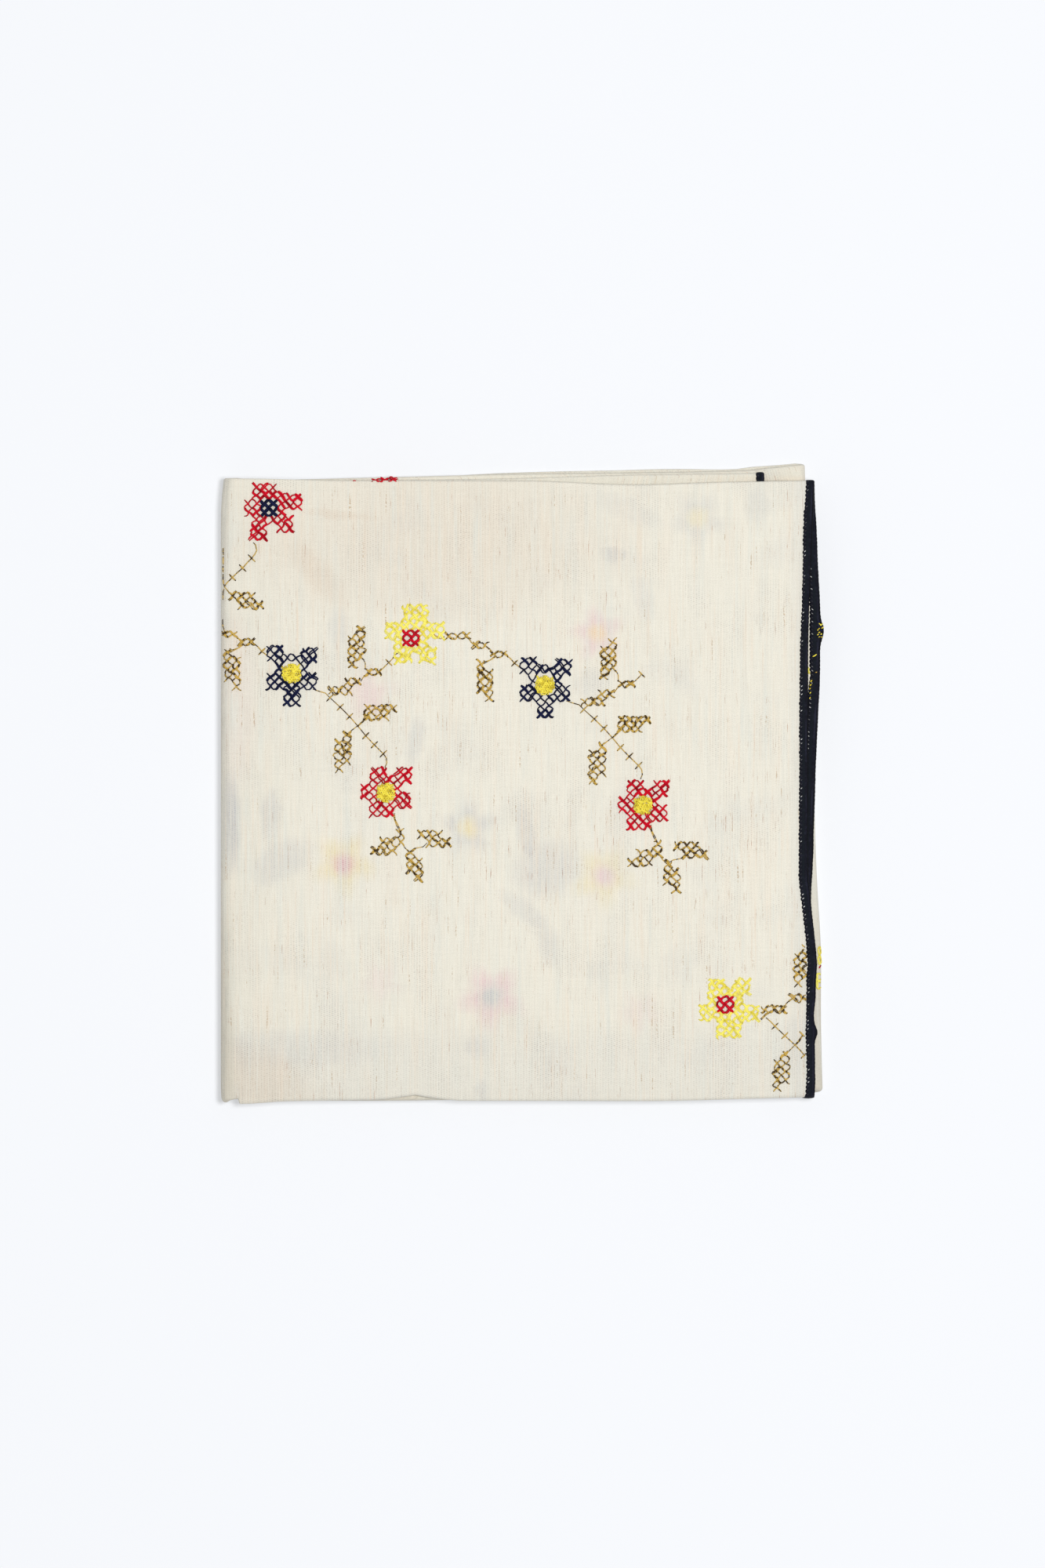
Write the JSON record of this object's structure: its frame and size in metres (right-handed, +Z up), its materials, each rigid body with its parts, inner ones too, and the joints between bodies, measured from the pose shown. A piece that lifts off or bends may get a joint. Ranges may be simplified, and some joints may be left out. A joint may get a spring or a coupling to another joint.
{
  "type": "folded head scarf",
  "caption": "Thin cotton head scarf with stitched flowers and a dark stitched edging, folded into a flat stack of plies.",
  "frame": {"origin": "middle of the outline, on the surface that the folded scarf lies on", "axes": "+Z up out of the stack, +Y up the cloth towards its top fold, +X towards the stitched end of the upper strip"},
  "size_m": [0.2328, 0.2476, 0.016],
  "materials": {
    "cotton": "thin unbleached plain weave with fine upright ribs and tan slubs",
    "edging_thread": "dense overlock stitches in soft dark navy thread"
  },
  "bodies": {
    "root": {"cloth": "cotton", "edging_upper_end": "edging_thread", "edging_tucked_end": "edging_thread", "edging_middle_ply": "edging_thread", "edging_back_ply": "edging_thread"}
  },
  "joints": []
}
